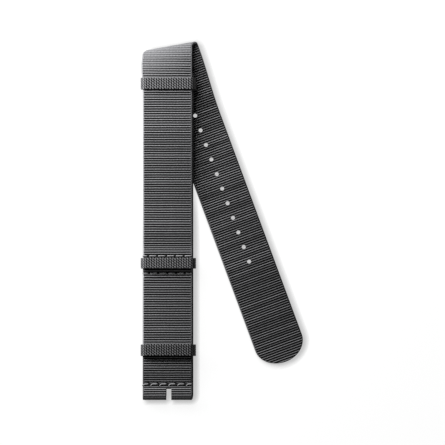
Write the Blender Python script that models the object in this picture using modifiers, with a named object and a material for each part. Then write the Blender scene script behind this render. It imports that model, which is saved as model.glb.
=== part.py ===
# A woven watch strap with three keepers, lying as it is packed: folded once, with the tail under the front.
# Metres, +Z up. The strap lies on the plane at z = 0, its front leg runs along Y.

import math
from bisect import bisect_right

import bmesh
import bpy
from mathutils import Matrix, Vector

# Webbing
web_width = 0.0200
web_thickness = 0.0012
selvage_bevel = 0.0003
layer_gap = 0.0003
lower_shift = 0.0005
cut_gap = 0.0001

# Places along the front leg, from the end with the tongue slot
slot_row_place = 0.0064
floating_keeper_place = 0.0204
lower_row_place = 0.0522
fixed_keeper_place = 0.0563
upper_row_place = 0.0594
climb_end_place = 0.1090
under_split_place = 0.1195
end_keeper_place = 0.1303
crest_place = 0.1452

# Loop for the buckle's bar, with the slot for its tongue
bar_space = 0.0020
tongue_slot_width = 0.0018
tongue_slot_depth = 0.0047
tongue_slot_corner = 0.0004
tongue_slot_offset = 0.0005
loop_split_reach = 0.0040

# How the front layer dips to its stitches
slot_dip_reach = 0.0040
row_flat = 0.0010
pinch_reach = 0.0022
pinch_depth = 0.0005
settle_reach = 0.0040

# Keepers, three alike
band_width = 0.0046
band_thickness = 0.0010
keeper_side_clearance = 0.00015
keeper_room = 0.0018
keeper_corner_radius = 0.0014
band_edge_bevel = 0.0002

# Fold over to the tail
fold_skew = math.radians(10.14)
fold_entry_turn = math.radians(25.0)
fold_bend_radius = 0.0019
tail_slip = 0.0005
tail_bow = 0.0012
tail_bow_reach = 0.0280

# Tail, measured from the crest of the fold
first_hole_place = 0.0303
hole_pitch = 0.0064
hole_count = 11
hole_diameter = 0.0020
last_hole_to_tip = 0.0439
tip_reach = 0.0085

# Under strap's end, turned round the end keeper
end_row_reach = 0.0035
end_tab_reach = 0.0040
end_rise_reach = 0.0016

# Stitching
thread_diameter = 0.00045
stitch_pitch = 0.0034
stitch_space = 0.0007
stitch_slope = 0.0003
thread_proud = 0.00030
thread_sunk = 0.00005
thread_clearance = 0.00005
groove_width = 0.00065
groove_depth = 0.00065
cutter_overrun = 0.0010
weld_distance = 0.000002

# How finely curves are divided
loop_steps = 8
entry_steps = 5
bend_steps = 10
ease_steps = 4
bow_steps = 6
tip_steps = 18
hole_sides = 14
corner_steps = 4

# Surfaces: colour and roughness
webbing_finish = ((0.060, 0.060, 0.062, 1.0), 0.85)
keeper_finish = ((0.052, 0.052, 0.054, 1.0), 0.80)
thread_finish = ((0.085, 0.085, 0.088, 1.0), 0.70)

# Heights of the layers' middles, from the table up
half_web = web_thickness / 2
web_step = web_thickness + layer_gap
row_height = web_step + half_web
tunnel_height = web_step + band_thickness + layer_gap + half_web
under_level = 2 * web_step + band_thickness + layer_gap + half_web
front_level = under_level + web_step

# Keepers' sizes, which all three share
keeper_inner_width = web_width + lower_shift + 2 * keeper_side_clearance
keeper_inner_height = layer_gap + web_thickness + keeper_room
keeper_outer_width = keeper_inner_width + 2 * band_thickness
keeper_outer_height = keeper_inner_height + 2 * band_thickness
keeper_centre_x = lower_shift / 2

# Where things follow from the values above
bar_bend_radius = bar_space / 2 + half_web
loop_centre_place = bar_bend_radius + half_web
loop_split_place = slot_row_place + loop_split_reach
butt_place = fixed_keeper_place
band_low_edge = fixed_keeper_place - band_width / 2 - layer_gap
band_high_edge = fixed_keeper_place + band_width / 2 + layer_gap
climb_start_place = upper_row_place + settle_reach
end_band_edge = end_keeper_place + band_width / 2
near_band_edge = end_band_edge - band_width
end_row_place = near_band_edge - end_row_reach
end_wrap_radius = band_thickness / 2 + layer_gap + half_web


def eased(start, end, steps=ease_steps):
    """Stations of a smooth rise from start to end, leaving out the start."""
    start, end = Vector(start), Vector(end)
    made = []
    for step in range(1, steps + 1):
        share = step / steps
        rise = share * share * (3 - 2 * share)
        here = start.lerp(end, share)
        here.y = start.y + (end.y - start.y) * rise
        made.append(here)
    return made


def turned(centre, radius, angles, sides, steps):
    """Stations round a bend seen from the side, leaving out the first."""
    made = []
    for step in range(1, steps + 1):
        share = step / steps
        angle = angles[0] + (angles[1] - angles[0]) * share
        side = sides[0] + (sides[1] - sides[0]) * share * share * (3 - 2 * share)
        made.append(
            Vector(
                (
                    centre[0] + radius * math.cos(angle),
                    centre[1] + radius * math.sin(angle),
                    side,
                )
            )
        )
    return made


class Course:
    """The line that the middle of a webbing follows, as stations of (along, height, side)."""

    def __init__(self, stations):
        self.stations = [Vector(station) for station in stations]
        self.lengths = [0.0]
        for before, after in zip(self.stations, self.stations[1:]):
            self.lengths.append(self.lengths[-1] + (after - before).xy.length)
        self.facings = [self.facing(index) for index in range(len(self.stations))]

    def facing(self, index):
        """The direction of the outer face at a station, long enough to keep the webbing's thickness in a bend."""
        last = len(self.stations) - 1
        runs = []
        if index > 0:
            runs.append((self.stations[index] - self.stations[index - 1]).xy)
        if index < last:
            runs.append((self.stations[index + 1] - self.stations[index]).xy)
        normals = [Vector((-run.y, run.x)).normalized() for run in runs]
        middle = (normals[0] + normals[-1]).normalized()
        return (middle / middle.dot(normals[0])).to_3d()

    def at(self, length, out=0):
        """The place that far along the webbing, and that far out from its middle."""
        index = bisect_right(self.lengths, length) - 1
        index = min(max(index, 0), len(self.stations) - 2)
        span = self.lengths[index + 1] - self.lengths[index]
        share = (length - self.lengths[index]) / span
        near = self.stations[index] + out * self.facings[index]
        far = self.stations[index + 1] + out * self.facings[index + 1]
        return near.lerp(far, share)

    def length_at(self, along, after=0):
        """How far along the webbing the course next passes a place, after a given length."""
        pairs = zip(self.stations, self.stations[1:], self.lengths, self.lengths[1:])
        for near, far, start, end in pairs:
            low, high = sorted((near.x, far.x))
            if end > after and low <= along <= high and low < high:
                return start + (along - near.x) / (far.x - near.x) * (end - start)
        return self.lengths[-1]


def front_course():
    """The long strap from its folded-in end, round the buckle's bar and up the front to where the fold starts."""
    loop_centre = (loop_centre_place, half_web + bar_bend_radius)
    loop_top = half_web + 2 * bar_bend_radius
    slot_low = (slot_row_place - row_flat / 2, row_height, 0)
    slot_high = (slot_row_place + row_flat / 2, row_height, 0)
    pinched = tunnel_height - pinch_depth
    stations = [(butt_place, half_web, lower_shift), (loop_centre_place, half_web, lower_shift)]
    stations += turned(
        loop_centre,
        bar_bend_radius,
        (-math.pi / 2, -3 * math.pi / 2),
        (lower_shift, 0),
        loop_steps,
    )
    stations += eased((loop_centre_place, loop_top, 0), slot_low)
    stations.append(slot_high)
    stations += eased(slot_high, (slot_row_place + slot_dip_reach, tunnel_height, 0))
    stations.append((lower_row_place - pinch_reach, tunnel_height, 0))
    stations += eased(stations[-1], (lower_row_place - row_flat / 2, pinched, 0), 2)
    stations.append((lower_row_place + row_flat / 2, pinched, 0))
    stations += eased(stations[-1], (band_low_edge, tunnel_height, 0), 2)
    stations.append((band_high_edge, tunnel_height, 0))
    stations += eased(stations[-1], (climb_start_place, row_height, 0))
    stations.append((climb_end_place, front_level, 0))
    stations.append((fold_start_place, front_level, 0))
    return Course(stations)


def fold_course():
    """The fold and the tail, seen along the fold line: a slow entry, a tight bend, and flat on the table."""
    entry_centre_height = front_level - fold_entry_radius
    stations = [(0, front_level, 0)]
    stations += turned(
        (0, entry_centre_height),
        fold_entry_radius,
        (math.pi / 2, math.pi / 2 - fold_entry_turn),
        (0, 0),
        entry_steps,
    )
    stations += turned(
        (bend_centre, bend_centre_height),
        fold_bend_radius,
        (math.pi / 2 - fold_entry_turn, -math.pi / 2),
        (0, tail_slip + tail_bow),
        bend_steps,
    )
    for step in range(1, bow_steps + 1):
        share = step / bow_steps
        left = 1 - share * share * (3 - 2 * share)
        stations.append((bend_centre - tail_bow_reach * share, half_web, tail_slip + tail_bow * left))
    tail_reach = first_hole_place + hole_pitch * hole_count + last_hole_to_tip
    stations.append((bend_centre - tail_reach, half_web, tail_slip))
    return Course(stations)


def under_course():
    """The under strap, from its butt end under the fixed keeper to the end turned round the end keeper."""
    wrap_centre = (end_band_edge, under_level - end_wrap_radius)
    low_level = under_level - 2 * end_wrap_radius
    tab_level = under_level - web_step
    stations = [
        (butt_place, half_web, lower_shift),
        (climb_start_place, half_web, lower_shift),
        (climb_end_place, under_level, lower_shift),
        (end_band_edge, under_level, lower_shift),
    ]
    stations += turned(
        wrap_centre,
        end_wrap_radius,
        (math.pi / 2, -math.pi / 2),
        (lower_shift, lower_shift),
        loop_steps,
    )
    rise_start = near_band_edge - layer_gap
    stations.append((rise_start, low_level, lower_shift))
    stations += eased(stations[-1], (rise_start - end_rise_reach, tab_level, lower_shift))
    stations.append((end_row_place - end_tab_reach, tab_level, lower_shift))
    return Course(stations)


# The fold's radii and places, worked out from the heights that it joins
fold_drop = front_level - half_web - fold_bend_radius * (1 + math.cos(fold_entry_turn))
fold_entry_radius = fold_drop / (1 - math.cos(fold_entry_turn))
bend_centre = (fold_entry_radius - fold_bend_radius) * math.sin(fold_entry_turn)
bend_centre_height = half_web + fold_bend_radius
crest_reach = bend_centre + fold_bend_radius + half_web
fold_start_place = crest_place - crest_reach / math.cos(fold_skew)
bend_start_length = fold_entry_radius * fold_entry_turn
bend_length = fold_bend_radius * (math.pi - fold_entry_turn)
bend_end_length = bend_start_length + bend_length

front = front_course()
fold = fold_course()
under = under_course()
front_length = front.lengths[-1]
loop_middle_length = front.length_at(loop_centre_place) + math.pi * bar_bend_radius / 2

fold_line = Vector((math.cos(fold_skew), math.sin(fold_skew), 0))
fold_forward = Vector((-math.sin(fold_skew), math.cos(fold_skew), 0))
fold_origin = Vector((0, fold_start_place, 0))


def across_fold(width, length):
    """A place on the flat long strap as (along the fold line, across it), from the fold's start."""
    past = length - front_length
    along = width * math.cos(fold_skew) + past * math.sin(fold_skew)
    across = past * math.cos(fold_skew) - width * math.sin(fold_skew)
    return along, across


def long_strap_place(width, length, out):
    """Where a point of the flat long strap lies once the strap is looped and folded."""
    along, across = across_fold(width, length)
    if across > 0:
        here = fold.at(across, out)
        place = fold_origin + fold_line * (along + here.z) + fold_forward * here.x
        return place + Vector((0, 0, here.y))
    here = front.at(length, out)
    return Vector((width + here.z, here.x, here.y))


def under_strap_place(width, length, out):
    """Where a point of the flat under strap lies."""
    here = under.at(length, out)
    return Vector((width + here.z, here.x, here.y))


def fold_line_length(width, across):
    """The strap length at which a line parallel to the fold meets a place across the width."""
    return front_length + (across + width * math.sin(fold_skew)) / math.cos(fold_skew)


def tail_length(from_crest):
    """The strap length on the tail's centreline at a distance from the crest."""
    across = bend_end_length + bend_centre - crest_reach + from_crest * math.cos(fold_skew)
    return front_length + across / math.cos(fold_skew)


def make_material(name, finish):
    """A Principled material with a colour and a roughness."""
    colour, roughness = finish
    material = bpy.data.materials.new(name)
    material.use_nodes = True
    shader = material.node_tree.nodes["Principled BSDF"]
    shader.inputs["Base Color"].default_value = colour
    shader.inputs["Roughness"].default_value = roughness
    shader.inputs["Metallic"].default_value = 0
    return material


def plain_mesh(holder):
    """The evaluated mesh of an object, which is then removed."""
    bpy.context.view_layer.update()
    graph = bpy.context.evaluated_depsgraph_get()
    mesh = bpy.data.meshes.new_from_object(holder.evaluated_get(graph))
    bpy.data.objects.remove(holder)
    return mesh


def flat_solid(outlines, thickness):
    """A flat piece cut to its outline, with any other outlines as holes, as a welded mesh."""
    curve = bpy.data.curves.new("outline", "CURVE")
    curve.dimensions = "2D"
    curve.fill_mode = "BOTH"
    curve.extrude = thickness / 2
    for outline in outlines:
        spline = curve.splines.new("POLY")
        spline.points.add(len(outline) - 1)
        for point, (x, y) in zip(spline.points, outline):
            point.co = (x, y, 0, 1)
        spline.use_cyclic_u = True
    holder = bpy.data.objects.new("outline", curve)
    bpy.context.scene.collection.objects.link(holder)
    mesh = plain_mesh(holder)
    shape = bmesh.new()
    shape.from_mesh(mesh)
    bmesh.ops.remove_doubles(shape, verts=shape.verts, dist=weld_distance)
    bmesh.ops.dissolve_limit(
        shape, angle_limit=math.radians(1), verts=shape.verts, edges=shape.edges
    )
    shape.to_mesh(mesh)
    shape.free()
    return mesh


def box_mesh(boxes):
    """One mesh of plain boxes, each given by its centre and size."""
    shape = bmesh.new()
    for centre, size in boxes:
        place = Matrix.Translation(centre) @ Matrix.Diagonal((*size, 1))
        bmesh.ops.create_cube(shape, size=1, matrix=place)
    mesh = bpy.data.meshes.new("boxes")
    shape.to_mesh(mesh)
    shape.free()
    return mesh


def grooved(mesh, grooves):
    """The flat mesh with a groove across it for each row of stitches: (length, face)."""
    if not grooves:
        return mesh
    boxes = []
    for length, face in grooves:
        depth = groove_depth + cutter_overrun
        middle = face * (half_web - groove_depth + depth / 2)
        size = (web_width + 2 * cutter_overrun, groove_width, depth)
        boxes.append((Vector((0, length, middle)), size))
    cutter = bpy.data.objects.new("groove_cutter", box_mesh(boxes))
    cutter.hide_render = True
    cutter.display_type = "WIRE"
    cutter_collection.objects.link(cutter)
    holder = bpy.data.objects.new("flat", mesh)
    bpy.context.scene.collection.objects.link(holder)
    cut = holder.modifiers.new("grooves", "BOOLEAN")
    cut.object = cutter
    cut.operation = "DIFFERENCE"
    mesh = plain_mesh(holder)
    bpy.data.objects.remove(cutter)
    return mesh


def bevel_selvages(shape, on_selvage):
    """Takes the sharp corner off the webbing's woven edges."""
    edges = []
    for edge in shape.edges:
        level = abs(edge.verts[0].co.z - edge.verts[1].co.z) < weld_distance
        if level and all(on_selvage(vert.co) for vert in edge.verts):
            edges.append(edge)
    bmesh.ops.bevel(
        shape, geom=edges, offset=selvage_bevel, segments=1, affect="EDGES", profile=0.5
    )


def along_edges(point):
    """True on the two long edges of a webbing."""
    return abs(abs(point.x) - web_width / 2) < weld_distance


def webbing(name, outlines, place, cuts, grooves=(), on_selvage=along_edges):
    """A stretch of webbing: cut flat, grooved for its stitches, then carried to where it lies.

    cuts are the lines, as a point and a normal on the flat piece, at which it may bend."""
    mesh = flat_solid(outlines, web_thickness)
    shape = bmesh.new()
    shape.from_mesh(mesh)
    bevel_selvages(shape, on_selvage)
    shape.to_mesh(mesh)
    shape.free()
    mesh = grooved(mesh, grooves)
    shape = bmesh.new()
    shape.from_mesh(mesh)
    for point, normal in cuts:
        parts = shape.verts[:] + shape.edges[:] + shape.faces[:]
        bmesh.ops.bisect_plane(
            shape, geom=parts, dist=weld_distance, plane_co=point, plane_no=normal
        )
    bmesh.ops.triangulate(shape, faces=shape.faces)
    for vert in shape.verts:
        vert.co = place(vert.co.x, vert.co.y, vert.co.z)
    mesh.name = name
    shape.to_mesh(mesh)
    shape.free()
    return finished(name, mesh, webbing_finish)


def finished(name, mesh, finish):
    """The mesh as a smooth-shaded, named piece of the strap."""
    mesh.materials.clear()
    mesh.materials.append(make_material(name, finish))
    mesh.shade_smooth()
    mesh.set_sharp_from_angle(angle=math.radians(35))
    piece = bpy.data.objects.new(name, mesh)
    strap_collection.objects.link(piece)
    return piece


def rectangle(start, end):
    """The outline of a straight stretch of webbing."""
    half = web_width / 2
    return [(-half, start), (half, start), (half, end), (-half, end)]


def bends(course, start, end):
    """The lines at which a course bends between two lengths."""
    inside = [length for length in course.lengths if start < length < end]
    return [(Vector((0, length, 0)), Vector((0, 1, 0))) for length in inside]


def fold_bends(start, end):
    """The lines at which the long strap bends in the fold, which run across the strap at the fold's skew."""
    normal = Vector((-math.sin(fold_skew), math.cos(fold_skew), 0))
    inside = [length for length in fold.lengths if start < length < end]
    return [(Vector((0, fold_line_length(0, length), 0)), normal) for length in inside]


def rounded_box(width, height, radius, middle):
    """An outline with round corners, about a middle point."""
    corners = ((1, 1), (-1, 1), (-1, -1), (1, -1))
    outline = []
    for quarter, (right, up) in enumerate(corners):
        centre_x = middle[0] + right * (width / 2 - radius)
        centre_y = middle[1] + up * (height / 2 - radius)
        for step in range(corner_steps + 1):
            angle = (quarter + step / corner_steps) * math.pi / 2
            outline.append((centre_x + radius * math.cos(angle), centre_y + radius * math.sin(angle)))
    return outline


def circle(centre, diameter):
    """The outline of a punched hole."""
    turns = [2 * math.pi * side / hole_sides for side in range(hole_sides)]
    radius = diameter / 2
    return [(centre[0] + radius * math.cos(a), centre[1] + radius * math.sin(a)) for a in turns]


def make_folded_end():
    """The end of the long strap that comes back under the front layer from the buckle loop."""
    start = cut_gap / 2 + layer_gap / 2
    end = front.length_at(loop_split_place) - cut_gap / 2
    grooves = [(front.length_at(lower_row_place), 1)]
    return webbing(
        "strap_folded_end", [rectangle(start, end)], long_strap_place, bends(front, start, end), grooves
    )


def make_buckle_loop():
    """The loop that goes round the buckle's bar, slotted for the buckle's tongue."""
    start = front.length_at(loop_split_place) + cut_gap / 2
    end = front.length_at(loop_split_place, loop_middle_length) - cut_gap / 2
    slot_start = front.length_at(tongue_slot_depth)
    slot_end = front.length_at(tongue_slot_depth, loop_middle_length)
    middle = (tongue_slot_offset, (slot_start + slot_end) / 2)
    slot = rounded_box(tongue_slot_width, slot_end - slot_start, tongue_slot_corner, middle)
    grooves = [
        (front.length_at(slot_row_place), 1),
        (front.length_at(slot_row_place, loop_middle_length), 1),
    ]
    return webbing(
        "strap_buckle_loop",
        [rectangle(start, end), slot],
        long_strap_place,
        bends(front, start, end),
        grooves,
    )


def make_strap_front():
    """The front leg, from the buckle loop through the keepers to the fold."""
    half = web_width / 2
    start = front.length_at(loop_split_place, loop_middle_length) + cut_gap / 2
    across = bend_start_length - cut_gap / 2
    outline = [
        (-half, start),
        (half, start),
        (half, fold_line_length(half, across)),
        (-half, fold_line_length(-half, across)),
    ]
    cuts = bends(front, start, front_length - half) + fold_bends(-cut_gap, across)
    grooves = [
        (front.length_at(lower_row_place, loop_middle_length), 1),
        (front.length_at(upper_row_place, loop_middle_length), 1),
    ]
    return webbing("strap_front", [outline], long_strap_place, cuts, grooves)


def make_strap_fold():
    """The tight bend over which the front leg turns into the tail."""
    half = web_width / 2
    start = bend_start_length + cut_gap / 2
    end = bend_end_length - cut_gap / 2
    outline = [
        (-half, fold_line_length(-half, start)),
        (half, fold_line_length(half, start)),
        (half, fold_line_length(half, end)),
        (-half, fold_line_length(-half, end)),
    ]
    return webbing("strap_fold", [outline], long_strap_place, fold_bends(start, end))


def make_strap_tail():
    """The tail, punched for the buckle's tongue and rounded at its tip."""
    half = web_width / 2
    start = bend_end_length + cut_gap / 2
    last_hole_place = first_hole_place + hole_pitch * (hole_count - 1)
    tip = tail_length(last_hole_place + last_hole_to_tip)
    outline = [(-half, fold_line_length(-half, start)), (half, fold_line_length(half, start))]
    for step in range(tip_steps + 1):
        angle = math.pi * step / tip_steps
        outline.append((half * math.cos(angle), tip - tip_reach + tip_reach * math.sin(angle)))
    holes = []
    for index in range(hole_count):
        place = tail_length(first_hole_place + hole_pitch * index)
        holes.append(circle((0, place), hole_diameter))

    def on_outline(point):
        return along_edges(point) or point.y > tip - tip_reach

    cuts = fold_bends(start, fold.lengths[-1])
    return webbing("strap_tail", [outline, *holes], long_strap_place, cuts, (), on_outline)


def make_under_strap():
    """The under strap, from the stitches to where its end starts."""
    start = layer_gap / 2 + cut_gap / 2
    end = under.length_at(under_split_place) - cut_gap / 2
    grooves = [(under.length_at(upper_row_place), -1)]
    return webbing(
        "under_strap", [rectangle(start, end)], under_strap_place, bends(under, start, end), grooves
    )


def make_under_strap_end():
    """The under strap's end, turned round the lower side of the end keeper and stitched to itself."""
    start = under.length_at(under_split_place) + cut_gap / 2
    end = under.lengths[-1]
    grooves = [(end_row_length(False), 1), (end_row_length(True), 1)]
    return webbing(
        "under_strap_end", [rectangle(start, end)], under_strap_place, bends(under, start, end), grooves
    )


def end_row_length(turned_under):
    """Where the end row of stitches passes the under strap: its upper layer, or the layer turned under."""
    after = under.length_at(end_band_edge) + math.pi * end_wrap_radius / 2 if turned_under else 0
    return under.length_at(end_row_place, after)


def make_keeper(name, place, lower_side):
    """A woven keeper: a flat band closed into a ring, its lower side at the given height."""
    outer = rounded_box(keeper_outer_width, keeper_outer_height, keeper_corner_radius, (0, 0))
    inner_radius = keeper_corner_radius - band_thickness
    inner = rounded_box(keeper_inner_width, keeper_inner_height, inner_radius, (0, 0))
    mesh = flat_solid([outer, inner], band_width)
    piece = finished(name, mesh, keeper_finish)
    piece.location = (keeper_centre_x, place, lower_side + keeper_outer_height / 2)
    piece.rotation_euler = (math.pi / 2, 0, 0)
    bevel = piece.modifiers.new("band edges", "BEVEL")
    bevel.width = band_edge_bevel
    bevel.segments = 1
    bevel.limit_method = "ANGLE"
    bevel.angle_limit = math.radians(60)
    return piece


def make_thread(name, place, length, face, proud):
    """One thread of a row of stitches: dashes on the face, with dips between them."""
    stitches = round(web_width / stitch_pitch)
    radius = thread_diameter / 2
    high = half_web + proud - radius
    low = half_web - groove_depth + thread_clearance + radius
    dash = stitch_pitch - stitch_space
    first = -(stitches * stitch_pitch - stitch_space) / 2
    points = []
    for index in range(stitches):
        start = first + index * stitch_pitch
        points.append((start, low))
        points.append((start + stitch_slope, high))
        points.append((start + dash - stitch_slope, high))
        points.append((start + dash, low))
    curve = bpy.data.curves.new(name, "CURVE")
    curve.dimensions = "3D"
    curve.bevel_depth = radius
    curve.bevel_resolution = 1
    curve.use_fill_caps = True
    spline = curve.splines.new("POLY")
    spline.points.add(len(points) - 1)
    for point, (width, out) in zip(spline.points, points):
        point.co = (*place(width, length, face * out), 1)
    curve.materials.append(make_material(name, thread_finish))
    piece = bpy.data.objects.new(name, curve)
    strap_collection.objects.link(piece)
    return piece


def make_rows():
    """The three rows of lockstitch on the front leg, each a needle thread above and a bobbin thread below."""
    rows = []
    for name, place in (("slot", slot_row_place), ("lower", lower_row_place), ("upper", upper_row_place)):
        above = front.length_at(place, loop_middle_length)
        rows.append(make_thread(f"{name}_row_needle_thread", long_strap_place, above, 1, thread_proud))
    for name, place in (("slot", slot_row_place), ("lower", lower_row_place)):
        below = front.length_at(place)
        rows.append(make_thread(f"{name}_row_bobbin_thread", long_strap_place, below, 1, -thread_sunk))
    below = under.length_at(upper_row_place)
    rows.append(make_thread("upper_row_bobbin_thread", under_strap_place, below, -1, -thread_sunk))
    return rows


def make_end_rows():
    """The row that closes the under strap's end round the end keeper."""
    rows = []
    for name, turned_under in (("needle", False), ("bobbin", True)):
        length = end_row_length(turned_under)
        rows.append(make_thread(f"end_row_{name}_thread", under_strap_place, length, 1, -thread_sunk))
    return rows


def make_empty(name, place, turn=0):
    """An empty that marks where a group of pieces moves from."""
    empty = bpy.data.objects.new(name, None)
    empty.location = place
    empty.rotation_euler = (0, 0, turn)
    strap_collection.objects.link(empty)
    return empty


def hang(pieces, holder):
    """Parents the pieces to a holder where they are."""
    bpy.context.view_layer.update()
    for piece in pieces:
        piece.parent = holder
        piece.matrix_parent_inverse = holder.matrix_world.inverted()


def box_of(pieces):
    """The lowest and highest corners of the pieces together."""
    bpy.context.view_layer.update()
    graph = bpy.context.evaluated_depsgraph_get()
    corners = []
    for piece in pieces:
        ready = piece.evaluated_get(graph)
        mesh = ready.to_mesh()
        corners += [ready.matrix_world @ vert.co for vert in mesh.vertices]
        ready.to_mesh_clear()
    low = Vector([min(corner[axis] for corner in corners) for axis in range(3)])
    high = Vector([max(corner[axis] for corner in corners) for axis in range(3)])
    return low, high


for leftover in list(bpy.data.objects):
    bpy.data.objects.remove(leftover)

strap_collection = bpy.data.collections.new("watch_strap")
cutter_collection = bpy.data.collections.new("cutters")
bpy.context.scene.collection.children.link(strap_collection)
bpy.context.scene.collection.children.link(cutter_collection)

tail = make_strap_tail()
front_pieces = [
    make_strap_front(),
    make_strap_fold(),
    make_buckle_loop(),
    make_folded_end(),
    make_under_strap(),
    make_keeper("fixed_keeper", fixed_keeper_place, web_step),
    *make_rows(),
]
floating_keeper = make_keeper("floating_keeper", floating_keeper_place, web_step)
end_keeper_height = under_level - half_web - layer_gap - band_thickness
end_keeper = make_keeper("end_keeper", end_keeper_place, end_keeper_height)
end_pieces = [end_keeper, make_under_strap_end(), *make_end_rows()]

whole = make_empty("strap_centre", (0, 0, 0))
hinge_place = fold_origin + fold_forward * bend_centre + Vector((0, 0, bend_centre_height))
hinge = make_empty("fold_axis", hinge_place, fold_skew)
slide_place = (keeper_centre_x, end_keeper_place, end_keeper_height + keeper_outer_height / 2)
end_slide = make_empty("end_keeper_slide", slide_place)
hang(end_pieces, end_slide)
hang([*front_pieces, floating_keeper, end_slide], hinge)
hang([tail, hinge], whole)

all_pieces = [tail, *front_pieces, floating_keeper, *end_pieces]
low_corner, high_corner = box_of(all_pieces)
middle = (low_corner + high_corner) / 2
whole.location = (-middle.x, -middle.y, -low_corner.z)
bpy.context.view_layer.update()

print("fold axis at", [round(value, 5) for value in hinge.matrix_world.translation])
print("fold axis along", [round(value, 5) for value in fold_line])
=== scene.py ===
import math

import bmesh
import bpy
import numpy as np
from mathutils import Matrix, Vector


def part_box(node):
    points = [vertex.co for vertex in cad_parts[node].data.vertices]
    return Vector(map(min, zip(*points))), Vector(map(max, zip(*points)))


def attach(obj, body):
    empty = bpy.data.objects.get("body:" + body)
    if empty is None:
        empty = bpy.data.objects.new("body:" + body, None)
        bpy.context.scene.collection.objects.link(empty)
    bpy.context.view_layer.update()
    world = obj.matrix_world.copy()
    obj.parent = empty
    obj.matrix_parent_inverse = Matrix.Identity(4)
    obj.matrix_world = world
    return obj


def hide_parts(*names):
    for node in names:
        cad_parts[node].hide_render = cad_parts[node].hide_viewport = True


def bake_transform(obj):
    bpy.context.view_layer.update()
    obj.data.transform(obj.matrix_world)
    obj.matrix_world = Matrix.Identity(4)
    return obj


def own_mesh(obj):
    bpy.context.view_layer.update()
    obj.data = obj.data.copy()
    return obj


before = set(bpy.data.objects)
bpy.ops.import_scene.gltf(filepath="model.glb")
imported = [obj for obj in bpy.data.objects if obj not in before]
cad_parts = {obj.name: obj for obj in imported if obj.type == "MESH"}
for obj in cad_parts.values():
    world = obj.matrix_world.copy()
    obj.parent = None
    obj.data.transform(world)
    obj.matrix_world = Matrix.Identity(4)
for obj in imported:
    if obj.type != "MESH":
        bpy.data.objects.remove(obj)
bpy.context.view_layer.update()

# The strap is worked out in millimetres on the flat webbing, then carried to where it lies, in metres.
mm = 0.001

strap = {
    "width": 20.0,
    "thickness": 1.2,
    "layerGap": 0.3,
    "lowerShift": 0.5,      # the lower layer shows this far out on the right
    "slotRow": 6.4,         # places along the front leg, from the slotted end
    "lowerRow": 52.2,
    "fixedKeeper": 56.3,
    "upperRow": 59.15,
    "climbStart": 63.4,
    "climbEnd": 109.0,
    "underSplit": 119.5,
    "endKeeper": 130.3,
    "crest": 145.45,
    "barSpace": 2.0,
    "loopOut": 0.12,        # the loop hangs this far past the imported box
    "bandWidth": 4.6,
    "bandThickness": 1.0,
    "pinch": 0.75,          # how far the stitches pull the front layer down
    "endRowIn": 3.5,        # from the end keeper to the row that closes the under strap round it
    "cutStart": 0.04,       # where on its course each webbing starts
    "overrun": 0.5,         # each piece is made this much too long and then cut along the fold
}

bends = {       # the stretches on which a webbing changes its level, beside the rows and the keepers
    "beforeSlotRow": 0.5,
    "afterSlotRow": 0.2,
    "toTunnel": 5.4,
    "beforeLowerRow": 2.4,
    "atLowerRow": 0.2,
    "besideKeeper": 2.6,
    "pastFold": 6.0,        # the front leg's course runs on, for the half of the width that folds later
    "pastTurn": 2.0,
    "underEndRise": 1.6,
    "underEndFlat": 7.2,
}

fold = {
    "skew": math.radians(10.14),
    "entryTurn": math.radians(25.0),
    "bendRadius": 1.9,
    "slip": 0.5,
    "bow": 1.2,
    "bowReach": 28.0,
}

tail = {
    "firstHole": 30.55,     # from the crest of the fold
    "holePitch": 6.4,
    "holes": 11,
    "holeDiameter": 1.62,
    "holeSnap": 0.6,        # points this near a hole's rim move onto its circle
    "holeColumns": [-1.6, 1.61, 0.2],       # places across beside the holes: first, end and step
    "lastHoleToTip": 43.9,
    "tipReach": 8.5,
    "tipRows": 14,          # rows follow the round tip, between these shares of its quarter turn
    "tipTurns": (0.5, 0.995),
    "tipGap": 0.02,
    "tipShare": 0.9985,     # how far along its reach the tip is closed
    "tipEdge": 1.4,         # the columns this near the edge stay together round the tip
    "tipSqueeze": 4.0,      # until the tip is this narrow
    "tipRound": 9.0,
}

halfWidth = strap["width"] / 2
halfWeb = strap["thickness"] / 2
webStep = strap["thickness"] + strap["layerGap"]
rowLevel = webStep + halfWeb
tunnelLevel = webStep + strap["bandThickness"] + strap["layerGap"] + halfWeb
underLevel = 2 * webStep + strap["bandThickness"] + strap["layerGap"] + halfWeb
frontLevel = underLevel + webStep
barRadius = strap["barSpace"] / 2 + halfWeb
loopCentre = barRadius + halfWeb - strap["loopOut"]
endKeeperEdge = strap["endKeeper"] + strap["bandWidth"] / 2
endRow = endKeeperEdge - strap["bandWidth"] - strap["endRowIn"]

# The fixed keeper's packed box says where the front leg's centreline lies.
keeperLow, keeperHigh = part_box("fixed_keeper")
originX = (keeperLow.x + keeperHigh.x) / 2 / mm - strap["lowerShift"] / 2
originY = (keeperLow.y + keeperHigh.y) / 2 / mm - strap["fixedKeeper"]


# Courses: the line that a webbing's middle follows, seen from the side

def ease(share):
    return share * share * (3 - 2 * share)


def ramp(start, end, steps=12):     # a smooth rise, without its first point
    start, end = np.array(start, float), np.array(end, float)
    made = []
    for step in range(1, steps + 1):
        share = step / steps
        here = start + (end - start) * share
        here[1] = start[1] + (end[1] - start[1]) * ease(share)
        made.append(here)
    return made


def turn(centre, radius, angles, sides, steps=28, slideShare=0.6):      # an arc, without its first point
    made = []
    for step in range(1, steps + 1):
        share = step / steps
        angle = angles[0] + (angles[1] - angles[0]) * share
        side = sides[0] + (sides[1] - sides[0]) * ease(min(1, share / slideShare))
        along = centre[0] + radius * math.cos(angle)
        made.append(np.array([along, centre[1] + radius * math.sin(angle), side]))
    return made


def reachAlong(points):     # how far along a line each of its points lies
    return np.concatenate([[0], np.cumsum(np.linalg.norm(np.diff(points, axis=0), axis=1))])


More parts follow.
